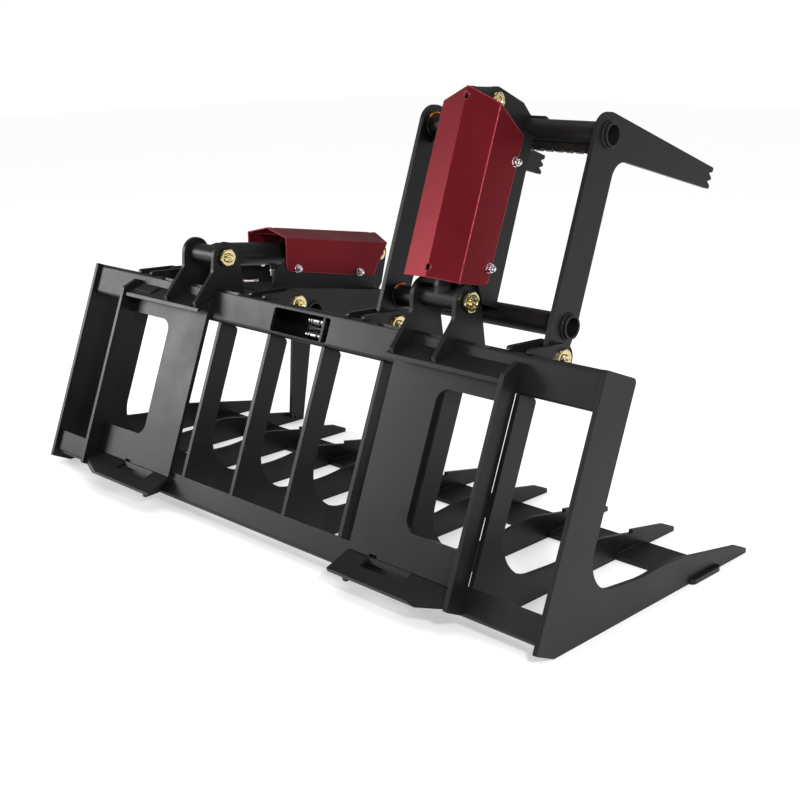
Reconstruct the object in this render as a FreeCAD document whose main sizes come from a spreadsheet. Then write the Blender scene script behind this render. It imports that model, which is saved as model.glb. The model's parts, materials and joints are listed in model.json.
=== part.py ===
import FreeCAD, Part
import math
import os
from collections import namedtuple

import Sketcher
from FreeCAD import Placement, Rotation, Vector

# Skeleton grapple for a loader. Nine open spaces between plate tines make a
# floor and a back, two clamps with a cylinder each close over them.
# The row stands on its tines: X is the width, +Y points to the tine tips, +Z up.
# Three frames are used. Ground: Y and Z as they are. Back: turned forward by the
# lean, so that Y runs out of the back and Z runs up along it. Clamp: like the
# back when the clamp stands open, with its origin on the pivot pin.

SIZES = {
    # Whole grapple
    "overall_width": 1524.0,
    "plate": 9.5,
    "thin_plate": 6.35,
    "cut_margin": 1.0,
    "edge_radius": 3.0,
    "edge_break": 2.0,
    "lean": 20.585,
    "origin_reach": 364.05,
    "open_spaces": 9.0,
    # Tines and end plates, ground frame
    "throat_reach": 120.7,
    "throat_rise": 85.3,
    "throat_radius": 66.0,
    "dip_reach": 298.0,
    "dip_rise": 65.0,
    "dip_radius": 300.0,
    "foot_reach": 385.0,
    "foot_rise": 70.3,
    "foot_radius": 450.0,
    "bevel_reach": 630.0,
    "bevel_rise": 25.7,
    "tip_reach": 667.0,
    "tip_rise": 9.8,
    "nose_radius": 2.0,
    "heel_reach": 46.0,
    "heel_back": 9.0,
    "heel_rise": 17.0,
    # Inner tines, ground frame
    "tine_throat_reach": 76.6,
    "tine_throat_rise": 64.3,
    "tine_throat_radius": 86.0,
    "tine_dip_reach": 288.0,
    "tine_dip_rise": 49.6,
    "tine_dip_radius": 400.0,
    "tine_foot_reach": 396.0,
    "tine_foot_rise": 62.5,
    "tine_foot_radius": 200.0,
    "tine_heel_reach": 95.0,
    "step_reach": 514.0,
    "step_drop": 6.8,
    # Back of the tines, back frame
    "end_plate_depth": 83.0,
    "leg_depth": 49.0,
    "end_plate_lap": 9.0,
    "end_plate_heel": 20.1,
    "corner_radius": 10.0,
    "back_height": 505.0,
    "leg_height": 433.0,
    # Plate across the tines
    "cross_front": 558.0,
    "cross_rear": 458.0,
    "cross_lap": 10.0,
    # Beams
    "top_flange": 60.0,
    "bend_radius": 9.0,
    "bottom_beam_top": 86.0,
    "bottom_beam_low": 32.0,
    "bottom_flange": 40.0,
    "seat_inner": 217.0,
    "seat_outer": 500.0,
    "seat_drop": 6.5,
    "seat_depth": 8.0,
    "beam_window_half": 87.0,
    "beam_window_low": 441.5,
    "beam_window_high": 492.0,
    "beam_window_radius": 6.0,
    "beam_cover_half": 110.0,
    # Loader mount
    "mount_inner": 291.0,
    "mount_outer": 573.5,
    "mount_low": 74.2,
    "mount_window_inner": 416.0,
    "mount_window_low": 142.0,
    "mount_window_high": 411.5,
    "mount_window_radius": 27.0,
    "lip_high": 480.0,
    "lip_low": 451.0,
    "lip_reach": 37.0,
    "lip_thickness": 8.5,
    "side_bar_reach": 42.0,
    "side_bar_low": 38.0,
    "side_bar_high": 460.0,
    "side_bar_top": 487.0,
    "side_bar_notch": 14.0,
    "side_bar_foot": 34.0,
    "sill_high": 73.0,
    "sill_low": 33.5,
    "sill_reach": 55.0,
    "sill_thickness": 11.0,
    "sill_rib_low": 18.5,
    "sill_rib_reach": 34.0,
    "sill_clip": 79.0,
    "sill_clip_depth": 22.0,
    "slot_inner": 347.0,
    "slot_outer": 458.0,
    "slot_front": 9.5,
    "slot_rear": 30.0,
    "slot_notch_high": 79.5,
    "slot_notch_width": 20.0,
    "rib_inner": 320.0,
    "pad_inner": 489.0,
    "pad_outer": 555.0,
    "pad_high": 478.0,
    "pad_low": 460.0,
    "pad_thickness": 3.0,
    # Pivots of the clamps
    "pin_diameter": 25.4,
    "pin_play": 0.06,
    "pin_head_diameter": 37.0,
    "pin_head": 5.0,
    "pin_button_diameter": 19.0,
    "pin_button": 5.0,
    "pin_washer": 5.0,
    "pin_washer_diameter": 40.0,
    "pivot_depth": 95.0,
    "pivot_height": 512.0,
    "ear_nose": 29.5,
    "ear_rear": 0.5,
    "ear_rise": 6.5,
    "ear_hook": 445.0,
    "ear_hook_depth": 84.0,
    "ear_spacing": 45.3,
    "ear_inner_center": 152.45,
    "ear_outer_center": 566.25,
    "side_play": 0.5,
    # Clamps
    "clamp_center": 359.35,
    "closing_angle": 79.5,
    "arm_offset": 212.9,
    "hub_radius": 30.0,
    "arm_front_low": 42.0,
    "arm_front_rise": 63.0,
    "arm_front_high": 34.5,
    "arm_throat_rise": 375.0,
    "arm_throat_radius": 36.0,
    "arm_end": 363.0,
    "arm_jaw_low": 411.0,
    "arm_jaw_high": 454.0,
    "arm_top": 449.5,
    "arm_rear_high": 41.0,
    "arm_rear_low": 32.0,
    "arm_rear_rise": 20.0,
    "arm_top_radius": 38.0,
    "tooth_pitch": 16.5,
    "tooth_depth": 11.0,
    "tooth_base": 423.5,
    "tooth_half": 6.0,
    "tube_diameter": 44.5,
    "tube_bore": 36.0,
    "tube_lap": 8.7,
    "upper_tube_depth": 2.0,
    "upper_tube_rise": 409.5,
    "lower_tube_depth": 17.0,
    "lower_tube_rise": 60.5,
    "grip_height": 16.0,
    "grip_pitch": 23.0,
    "grip_tooth": 5.0,
    # Straps and guard
    "strap_outer": 67.0,
    "strap_front_low": 13.0,
    "strap_front_high": 25.0,
    "strap_rear": 80.0,
    "strap_low": 68.0,
    "strap_toe_low": 10.0,
    "strap_toe_high": 4.0,
    "strap_heel_depth": 54.0,
    "strap_heel_rise": 100.0,
    "strap_high": 393.0,
    "guard_sheet": 3.0,
    "guard_front": 55.5,
    "guard_low": 88.5,
    "guard_wall_low": 101.0,
    "guard_ridge_top": 443.0,
    "guard_fold_top": 419.0,
    "guard_wall_top": 383.0,
    "guard_fold_low_depth": 133.0,
    "guard_fold_high_depth": 139.4,
    "guard_ridge_low_depth": 149.6,
    "guard_ridge_high_depth": 159.5,
    "guard_corner": 12.0,
    "guard_margin": 20.0,
    "guard_hole_diameter": 12.0,
    "guard_hole_edge": 19.0,
    "bolt_diameter": 12.0,
    "bolt_head_diameter": 20.0,
    "bolt_head": 6.0,
    "bolt_end": 14.0,
    "nut_flats": 17.0,
    "nut_length": 7.0,
    "bolt_play": 0.5,
    "bolt_high": 333.0,
    "bolt_low": 133.0,
    "bolt_depth": 63.0,
    # Cylinders
    "base_pin_depth": 12.0,
    "base_pin_height": 576.0,
    "base_ear_offset": 53.5,
    "base_ear_head": 34.0,
    "base_ear_waist_depth": 12.0,
    "base_ear_waist_height": 537.0,
    "base_ear_spike_depth": 41.0,
    "base_ear_spike_height": 461.0,
    "base_ear_foot_depth": 35.5,
    "base_ear_front": 91.0,
    "rod_pin_depth": 111.0,
    "rod_pin_rise": 430.0,
    "rod_pin_head": 6.0,
    "rod_pin_head_diameter": 32.0,
    "barrel_diameter": 53.0,
    "barrel_bore": 44.5,
    "barrel_boss_diameter": 44.0,
    "barrel_start": 20.0,
    "barrel_floor": 40.0,
    "gland_start": 206.0,
    "gland_end": 240.0,
    "gland_diameter": 54.5,
    "rod_diameter": 28.0,
    "rod_start": 46.0,
    "piston_length": 22.0,
    "eye_stub": 30.0,
    "eye_stub_diameter": 38.0,
    "eye_radius": 25.0,
    "eye_half_width": 23.0,
    "open_gap": 3.5,
    "rod_ear_offset": 28.75,
    "rod_ear_head": 26.0,
    "rod_ear_lap": 3.0,
    "rod_ear_shoulder_depth": 36.0,
    "rod_ear_shoulder_rise": 451.5,
    "gusset_half_width": 65.0,
    "gusset_sweep": 76.0,
    "port_low": 78.0,
    "port_high": 188.0,
    "port_diameter": 20.0,
    "port_reach": 37.0,
    "adapter_diameter": 15.0,
    "adapter_collar_diameter": 19.0,
    "adapter_length": 16.0,
    # Couplings in the beam window
    "coupling_diameter": 24.0,
    "coupling_length": 62.0,
    "coupling_collar": 1.0,
    "coupling_collar_length": 18.0,
    "coupling_depth": 30.0,
    "coupling_high": 482.0,
    "coupling_low": 452.5,
    "coupling_bracket_at": 62.0,
}


class Size:
    """A length or angle that knows its value and the sheet formula behind it."""

    def __init__(self, value, text):
        self.value = float(value)
        self.text = text

    @staticmethod
    def of(number):
        return number if isinstance(number, Size) else Size(number, f"({number})")

    def joined(self, sign, other, value):
        return Size(value, f"({self.text} {sign} {other.text})")

    def __add__(self, other):
        other = Size.of(other)
        return self.joined("+", other, self.value + other.value)

    def __sub__(self, other):
        other = Size.of(other)
        return self.joined("-", other, self.value - other.value)

    def __mul__(self, other):
        other = Size.of(other)
        return self.joined("*", other, self.value * other.value)

    def __truediv__(self, other):
        other = Size.of(other)
        return self.joined("/", other, self.value / other.value)

    def __radd__(self, other):
        return Size.of(other) + self

    def __rsub__(self, other):
        return Size.of(other) - self

    def __rmul__(self, other):
        return Size.of(other) * self

    def __neg__(self):
        return Size(-self.value, f"(-1 * {self.text})")


def sine(angle):
    return Size(math.sin(math.radians(angle.value)), f"sin({angle.text} * 1 deg)")


def cosine(angle):
    return Size(math.cos(math.radians(angle.value)), f"cos({angle.text} * 1 deg)")


def heading(y, z):
    """Angle in degrees of the direction (y, z), from Y towards Z."""
    value = math.degrees(math.atan2(z.value, y.value))
    return Size(value, f"(atan2({z.text}; {y.text}) / 1 deg)")


def distance(y, z):
    return Size(math.hypot(y.value, z.value), f"hypot({y.text}; {z.text})")


def turned(y, z, angle):
    """The point (y, z) after a turn forward, top towards +Y, by the angle."""
    return y * cosine(angle) + z * sine(angle), z * cosine(angle) - y * sine(angle)


doc = FreeCAD.newDocument("skeleton_grapple")
sheet = doc.addObject("Spreadsheet::Sheet", "Sizes")


def fill_sheet():
    """Writes the driving dimensions and returns them as named sizes."""
    sizes = {}
    for row, (name, value) in enumerate(SIZES.items(), start=1):
        sheet.set(f"A{row}", name)
        sheet.set(f"B{row}", str(value))
        sheet.setAlias(f"B{row}", name)
        sizes[name] = Size(value, f"Sizes.{name}")
    doc.recompute()
    return namedtuple("Dimensions", sizes)(**sizes)


D = fill_sheet()
PITCH = (D.overall_width - D.plate) / D.open_spaces
LEAN = D.lean
PIN_RADIUS = D.pin_diameter / 2
PIN_HOLE = PIN_RADIUS + D.pin_play
TUBE_RADIUS = D.tube_diameter / 2
HALF_WIDTH = D.overall_width / 2
BEAM_HALF = HALF_WIDTH - D.plate
SIDES = {"left": -1, "right": 1}
SMALLEST_CUT = 0.001
CLOSED = {"left": D.closing_angle, "right": D.closing_angle * 0}

parts = []

Corner = namedtuple("Corner", "x y radius is_hub")
Frame = namedtuple("Frame", "x y z turn")


def corner(x, y, radius=0):
    """A corner of an outline, rounded when it has a radius."""
    return Corner(Size.of(x), Size.of(y), Size.of(radius), False)


def hub(x, y, radius):
    """A stretch of an outline that wraps round a centre."""
    return Corner(Size.of(x), Size.of(y), Size.of(radius), True)


def on_back(depth, height, radius=0):
    """A corner given in the back frame, for an outline in the ground frame."""
    y, z = turned(Size.of(depth), Size.of(height), LEAN)
    return corner(y, z, radius)


def ground(x=0):
    return Frame(Size.of(x), -D.origin_reach, Size.of(0), None)


def back(x=0):
    return Frame(Size.of(x), -D.origin_reach, Size.of(0), LEAN)


def at_back_point(x, depth, height, turn):
    """A frame at a point of the back, turned forward by its own angle."""
    y, z = turned(Size.of(depth), Size.of(height), LEAN)
    return Frame(Size.of(x), y - D.origin_reach, z, turn)


def clamp(side):
    turn = LEAN + CLOSED[side]
    return at_back_point(SIDES[side] * D.clamp_center, D.pivot_depth, D.pivot_height, turn)


def bind(item, path, size):
    item.setExpression(path, size.text)


def new_body(name, frame):
    """An empty body that becomes the sub-part with this name."""
    body = doc.addObject("PartDesign::Body", name)
    body.Label = name
    turn = 0 if frame.turn is None else frame.turn.value
    place = Vector(frame.x.value, frame.y.value, frame.z.value)
    body.Placement = Placement(place, Rotation(Vector(-1, 0, 0), turn))
    bind(body, "Placement.Base.x", frame.x)
    bind(body, "Placement.Base.y", frame.y)
    bind(body, "Placement.Base.z", frame.z)
    if frame.turn is not None:
        body.setExpression("Placement.Rotation.Angle", f"{frame.turn.text} * 1 deg")
    parts.append(body)
    return body


def new_sketch(body, plane="YZ_Plane", offset=0):
    """A sketch on one of the body's own planes, moved along its normal."""
    sketch = body.newObject("Sketcher::SketchObject", f"{body.Label}_sketch")
    base = [item for item in body.Origin.OriginFeatures if item.Role == plane][0]
    sketch.AttachmentSupport = [(base, "")]
    sketch.MapMode = "FlatFace"
    offset = Size.of(offset)
    sketch.AttachmentOffset = Placement(Vector(0, 0, offset.value), Rotation())
    bind(sketch, "AttachmentOffset.Base.z", offset)
    return sketch


def limit(sketch, kind, size, *where):
    """A dimension of a sketch, bound to the sheet."""
    index = sketch.addConstraint(Sketcher.Constraint(kind, *where, size.value))
    sketch.setExpression(f"Constraints[{index}]", size.text)


def fix_point(sketch, item, point, x, y):
    limit(sketch, "DistanceX", x, -1, 1, item, point)
    limit(sketch, "DistanceY", y, -1, 1, item, point)


def side_line(first, second):
    """Ends and direction of the straight side between two corners of an outline."""
    a = Vector(first.x.value, first.y.value, 0)
    b = Vector(second.x.value, second.y.value, 0)
    along = math.atan2(b.y - a.y, b.x - a.x)
    if first.is_hub:
        along += math.asin(first.radius.value / a.distanceToPoint(b))
    if second.is_hub:
        along -= math.asin(second.radius.value / a.distanceToPoint(b))
    direction = Vector(math.cos(along), math.sin(along), 0)
    start = b - direction * (b - a).dot(direction) if first.is_hub else a
    end = a + direction * (b - a).dot(direction) if second.is_hub else b
    return start, end, direction


def draw(sketch, corners):
    """Draws a closed outline, corners anticlockwise, and binds every corner."""
    count = len(corners)
    sides = [side_line(corners[i], corners[(i + 1) % count]) for i in range(count)]
    starts = [side[0] for side in sides]
    ends = [side[1] for side in sides]
    arcs = {}
    for i, item in enumerate(corners):
        before, after = sides[i - 1][2], sides[i][2]
        turn = math.atan2(before.cross(after).z, before.dot(after))
        radius = item.radius.value
        if item.is_hub:
            center = Vector(item.x.value, item.y.value, 0)
        elif radius > 0:
            trim = radius * math.tan(abs(turn) / 2)
            ends[i - 1] = ends[i - 1] - before * trim
            starts[i] = starts[i] + after * trim
            inward = Vector(-before.y, before.x, 0) * math.copysign(radius, turn)
            center = ends[i - 1] + inward
        else:
            continue
        arcs[i] = (center, radius, turn > 0 or item.is_hub)
    first_line = sketch.GeometryCount
    for start, end in zip(starts, ends):
        sketch.addGeometry(Part.LineSegment(start, end), False)
    for i, item in enumerate(corners):
        line_in = first_line + (i - 1) % count
        line_out = first_line + i
        if i not in arcs:
            sketch.addConstraint(Sketcher.Constraint("Coincident", line_in, 2, line_out, 1))
            fix_point(sketch, line_out, 1, item.x, item.y)
            continue
        join_by_arc(sketch, item, arcs[i], (line_in, ends[i - 1]), (line_out, starts[i]))


def join_by_arc(sketch, item, arc_data, side_in, side_out):
    """Puts a tangent arc between two sides and binds its centre or its corner."""
    center, radius, to_left = arc_data
    line_in, point_in = side_in
    line_out, point_out = side_out
    first, last = (point_in, point_out) if to_left else (point_out, point_in)
    angles = [math.atan2(p.y - center.y, p.x - center.x) for p in (first, last)]
    circle = Part.Circle(center, Vector(0, 0, 1), radius)
    arc = sketch.addGeometry(Part.ArcOfCircle(circle, angles[0], angles[1]), False)
    arc_in, arc_out = (1, 2) if to_left else (2, 1)
    sketch.addConstraint(Sketcher.Constraint("Tangent", line_in, 2, arc, arc_in))
    sketch.addConstraint(Sketcher.Constraint("Tangent", line_out, 1, arc, arc_out))
    limit(sketch, "Radius", item.radius, arc)
    if item.is_hub:
        fix_point(sketch, arc, 3, item.x, item.y)
        return
    point = sketch.addGeometry(Part.Point(Vector(item.x.value, item.y.value, 0)), True)
    sketch.addConstraint(Sketcher.Constraint("PointOnObject", point, 1, line_in))
    sketch.addConstraint(Sketcher.Constraint("PointOnObject", point, 1, line_out))
    fix_point(sketch, point, 1, item.x, item.y)


def draw_circle(sketch, x, y, radius):
    x, y, radius = Size.of(x), Size.of(y), Size.of(radius)
    place = Vector(x.value, y.value, 0)
    item = sketch.addGeometry(Part.Circle(place, Vector(0, 0, 1), radius.value), False)
    limit(sketch, "Radius", radius, item)
    fix_point(sketch, item, 3, x, y)


def pad(body, sketch, length, centred=False):
    feature = body.newObject("PartDesign::Pad", f"{body.Label}_pad")
    feature.Profile = sketch
    feature.Midplane = centred
    bind(feature, "Length", Size.of(length))
    return feature


def cut_through(body, sketch):
    """Cuts the sketch through the body, both ways from its plane."""
    feature = body.newObject("PartDesign::Pocket", f"{body.Label}_cut")
    feature.Profile = sketch
    feature.Type = "ThroughAll"
    feature.Midplane = True
    return feature


def add_plate(body, corners, thickness=D.plate, at=0, holes=()):
    """A plate across X with its middle at the given X, and round holes in it."""
    sketch = new_sketch(body, "YZ_Plane", at)
    draw(sketch, corners)
    for y, z, radius in holes:
        draw_circle(sketch, y, z, radius)
    return pad(body, sketch, thickness, centred=True)


def add_round(body, start, end, radius, y=0, z=0, bore=None):
    """A round bar or tube along X from start to end."""
    sketch = new_sketch(body, "YZ_Plane", start)
    draw_circle(sketch, y, z, radius)
    if bore is not None:
        draw_circle(sketch, y, z, bore)
    return pad(body, sketch, end - start)


def add_hexagon(body, start, end, flats, y=0, z=0):
    """A hexagonal bar along X, two of its flats level."""
    sketch = new_sketch(body, "YZ_Plane", start)
    across = flats / (2 * math.cos(math.radians(30)))
    points = []
    for step in range(6):
        angle = math.radians(60 * step)
        points.append(corner(y + across * math.cos(angle), z + across * math.sin(angle)))
    draw(sketch, points)
    return pad(body, sketch, end - start)


def cut_round(body, y, z, radius):
    sketch = new_sketch(body)
    draw_circle(sketch, y, z, radius)
    return cut_through(body, sketch)


def cut_outline(body, plane, corners):
    sketch = new_sketch(body, plane)
    draw(sketch, corners)
    return cut_through(body, sketch)


def revolve(body, corners):
    """Turns an outline drawn to the right of the body's Z axis once round it."""
    sketch = new_sketch(body)
    draw(sketch, corners)
    feature = body.newObject("PartDesign::Revolution", f"{body.Label}_turned")
    feature.Profile = sketch
    feature.ReferenceAxis = (sketch, ["V_Axis"])
    feature.Angle = 360
    return feature


def box_corners(low_x, high_x, low_y, high_y, radius=0):
    return [
        corner(low_x, low_y, radius),
        corner(high_x, low_y, radius),
        corner(high_x, high_y, radius),
        corner(low_x, high_y, radius),
    ]


def ordered(side, inner, outer):
    """Two distances from the middle as the low and high X of that side."""
    return (-outer, -inner) if side == "left" else (inner, outer)


def sole_corners(heel):
    """The ground edge with the notch for the cross plate, the nose and its bevel."""
    return [
        corner(heel, 0),
        corner(D.cross_rear, 0),
        corner(D.cross_rear, D.plate),
        corner(D.cross_front, D.plate),
        corner(D.cross_front, 0),
        corner(D.tip_reach, 0),
        corner(D.tip_reach, D.tip_rise, D.nose_radius),
        corner(D.bevel_reach, D.bevel_rise),
    ]


def build_tines():
    """The inner tines stop under the top beam and step down behind the cross plate."""
    notch_height = D.bottom_beam_low + D.thin_plate
    slope = (D.foot_rise - D.bevel_rise) / (D.bevel_reach - D.foot_reach)
    step_top = D.foot_rise - slope * (D.step_reach - D.foot_reach)
    corners = sole_corners(D.tine_heel_reach) + [
        corner(D.step_reach, step_top),
        corner(D.step_reach, step_top - D.step_drop),
        corner(D.tine_foot_reach, D.tine_foot_rise, D.tine_foot_radius),
        corner(D.tine_dip_reach, D.tine_dip_rise, D.tine_dip_radius),
        corner(D.tine_throat_reach, D.tine_throat_rise, D.tine_throat_radius),
        on_back(D.leg_depth, D.leg_height, D.corner_radius),
        on_back(0, D.leg_height),
        on_back(0, D.bottom_beam_top),
        on_back(D.thin_plate, D.bottom_beam_top),
        on_back(D.thin_plate, notch_height, D.bend_radius / 2),
        on_back(D.bottom_flange, notch_height),
    ]
    count = int(D.open_spaces.value) - 1
    for number in range(count):
        body = new_body(f"tine_{number + 1}", ground(PITCH * (number - (count - 1) / 2)))
        add_plate(body, corners)


def build_end_plates():
    """The end plates run up to the top of the back and behind its face."""
    corners = sole_corners(D.heel_reach) + [
        corner(D.foot_reach, D.foot_rise, D.foot_radius),
        corner(D.dip_reach, D.dip_rise, D.dip_radius),
        corner(D.throat_reach, D.throat_rise, D.throat_radius),
        on_back(D.end_plate_depth, D.back_height, D.corner_radius),
        on_back(-D.end_plate_lap, D.back_height, D.corner_radius / 2),
        on_back(-D.end_plate_lap, D.end_plate_heel),
        corner(D.heel_back, D.heel_rise),
    ]
    for side, sign in SIDES.items():
        body = new_body(f"end_plate_{side}", ground(sign * (HALF_WIDTH - D.plate / 2)))
        add_plate(body, corners)


def build_cross_plate():
    """The flat plate let into the soles near the tine tips."""
    half = HALF_WIDTH + D.cross_lap
    body = new_body("front_cross_plate", ground())
    sketch = new_sketch(body, "XY_Plane")
    draw(sketch, box_corners(-half, half, D.cross_rear, D.cross_front, D.corner_radius))
    pad(body, sketch, D.plate)


def build_top_beam():
    """A channel that opens forward, with a window and seats for the cylinder ears."""
    low, high = D.leg_height, D.back_height
    skin = D.thin_plate
    outer, inner = D.bend_radius, D.bend_radius - D.thin_plate
    body = new_body("top_beam", back())
    corners = [
        corner(0, low, outer),
        corner(D.top_flange, low),
        corner(D.top_flange, low + skin),
        corner(skin, low + skin, inner),
        corner(skin, high - skin, inner),
        corner(D.top_flange, high - skin),
        corner(D.top_flange, high),
        corner(0, high, outer),
    ]
    add_plate(body, corners, 2 * BEAM_HALF)
    add_beam_cover(body, low + skin, high - skin)
    half = D.beam_window_half
    window = box_corners(-half, half, D.beam_window_low, D.beam_window_high, D.beam_window_radius)
    sketch = new_sketch(body, "XZ_Plane")
    draw(sketch, window)
    opening = body.newObject("PartDesign::Pocket", f"{body.Label}_window")
    opening.Profile = sketch
    opening.Midplane = True
    bind(opening, "Length", 4 * skin)
    seat_length = D.seat_outer - D.seat_inner
    for sign in SIDES.values():
        cut_seat(body, sign * (D.seat_inner + seat_length / 2), seat_length)
    add_coupling_bracket(body)


def add_beam_cover(body, low, high):
    """The plate that closes the front of the channel behind the window."""
    front, rear = D.top_flange, D.top_flange - D.thin_plate
    add_plate(body, box_corners(rear, front, low, high), 2 * D.beam_cover_half)


def cut_seat(body, middle, length):
    """Lowers the rear edge of the top beam over one stretch."""
    sketch = new_sketch(body, "YZ_Plane", middle)
    low = D.back_height - D.seat_drop
    high = D.back_height + D.cut_margin
    draw(sketch, box_corners(-D.cut_margin, D.seat_depth, low, high))
    feature = body.newObject("PartDesign::Pocket", f"{body.Label}_seat")
    feature.Profile = sketch
    feature.Midplane = True
    bind(feature, "Length", length)


def build_bottom_beam():
    """An angle bent forward under the heels of the tines."""
    low, high, skin = D.bottom_beam_low, D.bottom_beam_top, D.thin_plate
    body = new_body("bottom_beam", back())
    corners = [
        corner(0, low, D.bend_radius),
        corner(D.bottom_flange, low),
        corner(D.bottom_flange, low + skin),
        corner(skin, low + skin, D.bend_radius - skin),
        corner(skin, high),
        corner(0, high),
    ]
    add_plate(body, corners, 2 * BEAM_HALF)


def mount_middle(side):
    return SIDES[side] * (D.mount_inner + D.mount_outer) / 2


def lip_line(depth):
    """Height of the top face of the upper lip behind the back."""
    return D.lip_high - depth * (D.lip_high - D.lip_low) / D.lip_reach


def build_mount(side):
    """The loader mount of one side: plate, side bar, upper lip and sill."""
    width = D.mount_outer - D.mount_inner
    middle = mount_middle(side)
    attach = new_body(f"attach_plate_{side}", back())
    bevel = lip_line(D.plate) - D.lip_thickness
    corners = [
        corner(-D.plate, D.mount_low),
        corner(0, D.mount_low),
        corner(0, D.lip_high - D.lip_thickness),
        corner(-D.plate, bevel),
    ]
    add_plate(attach, corners, width, middle)
    cut_outline(attach, "XZ_Plane", window_corners(side))
    start = ordered(side, D.slot_inner, D.slot_outer)[0]
    stop = start + D.slot_notch_width
    low = D.mount_low - D.cut_margin
    cut_outline(attach, "XZ_Plane", box_corners(start, stop, low, D.slot_notch_high))

    bar = new_body(f"side_bar_{side}", back())
    corners = [
        corner(-D.side_bar_reach, D.side_bar_low, D.edge_radius),
        corner(0, D.side_bar_foot),
        corner(0, D.side_bar_top),
        corner(-D.side_bar_notch, D.side_bar_top, D.edge_radius),
        corner(-D.side_bar_reach, D.side_bar_high, D.edge_radius),
    ]
    add_plate(bar, corners, D.plate, SIDES[side] * (D.mount_outer + D.plate / 2))

    lip = new_body(f"top_lip_{side}", back())
    corners = [
        corner(-D.lip_reach, D.lip_low - D.lip_thickness),
        corner(0, D.lip_high - D.lip_thickness),
        corner(0, D.lip_high),
        corner(-D.lip_reach, D.lip_low),
    ]
    add_plate(lip, corners, width, middle)
    build_sill(side, width, middle)


def window_corners(side):
    """The mount's window, open at the side bar."""
    inner, outer = D.mount_window_inner, D.mount_outer + D.cut_margin
    low, high, radius = D.mount_window_low, D.mount_window_high, D.mount_window_radius
    if side == "right":
        return [
            corner(inner, low, radius),
            corner(outer, low),
            corner(outer, high),
            corner(inner, high, radius),
        ]
    return [
        corner(-outer, low),
        corner(-inner, low, radius),
        corner(-inner, high, radius),
        corner(-outer, high),
    ]


def build_sill(side, width, middle):
    """The sloped lower lip, with the slot for the locking wedge."""
    body = new_body(f"bottom_lip_{side}", back())
    corners = [
        corner(-D.sill_reach, D.sill_low),
        corner(-(D.sill_reach - D.sill_thickness / 2), D.sill_low - D.thin_plate),
        corner(-D.plate, D.sill_high - D.sill_thickness),
        corner(0, D.sill_high - D.sill_thickness),
        corner(0, D.sill_high),
        corner(-D.plate, D.sill_high),
    ]
    add_plate(body, corners, width, middle)
    low_x, high_x = ordered(side, D.slot_inner, D.slot_outer)
    slot = box_corners(low_x, high_x, -D.slot_rear, -D.slot_front)
    cut_outline(body, "XY_Plane", slot)
    cut_outline(body, "XY_Plane", clip_corners(side))


def clip_corners(side):
    """The corner cut off the sill's outer rear, a triangle with a margin."""
    sign = SIDES[side]
    start = sign * (D.mount_outer - D.sill_clip)
    stop = sign * (D.mount_outer + D.cut_margin)
    rear = -(D.sill_reach + D.cut_margin)
    points = [
        corner(start, rear),
        corner(stop, rear),
        corner(stop, -(D.sill_reach - D.sill_clip_depth)),
    ]
    return points if side == "right" else points[::-1]


def build_lip_ribs():
    """A rib under each sill, against the bottom beam."""
    body = new_body("lip_ribs", back())
    under = D.sill_high - D.sill_thickness
    slope = (under - D.sill_low + D.thin_plate) / (D.sill_reach - D.sill_thickness / 2 - D.plate)
    rear = D.sill_reach - D.sill_thickness - D.edge_break
    corners = [
        corner(-D.sill_rib_reach, D.sill_rib_low),
        corner(0, D.sill_low),
        corner(0, under),
        corner(-D.plate, under),
        corner(-rear, under - (rear - D.plate) * slope),
    ]
    for sign in SIDES.values():
        add_plate(body, corners, D.plate, sign * (D.rib_inner + D.plate / 2))


def build_lip_pad():
    """The flat raised pad on the upper lip of the left side."""
    body = new_body("lip_pad", back())
    slope = heading(D.lip_reach, D.lip_high - D.lip_low)
    rise_y, rise_z = -D.pad_thickness * sine(slope), D.pad_thickness * cosine(slope)
    per_height = D.lip_reach / (D.lip_high - D.lip_low)
    near = -(D.lip_high - D.pad_high) * per_height
    far = -(D.lip_high - D.pad_low) * per_height
    corners = [
        corner(far, D.pad_low),
        corner(near, D.pad_high),
        corner(near + rise_y, D.pad_high + rise_z),
        corner(far + rise_y, D.pad_low + rise_z),
    ]
    middle = -(D.pad_inner + D.pad_outer) / 2
    add_plate(body, corners, D.pad_outer - D.pad_inner, middle)


def ear_places(side):
    """Middles of the four pivot ears of one side."""
    places = []
    for center in (D.ear_inner_center, D.ear_outer_center):
        for half in (-1, 1):
            places.append(SIDES[side] * center + half * D.ear_spacing / 2)
    return places


def build_pivot_ears(side):
    """Four ears on the top beam that carry the clamp's two pivot pins."""
    body = new_body(f"pivot_ears_{side}", back())
    corners = [
        corner(-D.ear_rear, D.back_height),
        corner(D.top_flange, D.back_height),
        corner(D.top_flange, D.ear_hook),
        corner(D.ear_hook_depth, D.ear_hook, D.corner_radius),
        hub(D.pivot_depth, D.pivot_height, D.ear_nose),
        corner(-D.ear_rear, D.back_height + D.ear_rise, D.corner_radius / 2),
    ]
    for place in ear_places(side):
        hole = (D.pivot_depth, D.pivot_height, PIN_HOLE)
        add_plate(body, corners, D.plate, place, [hole])


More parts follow.
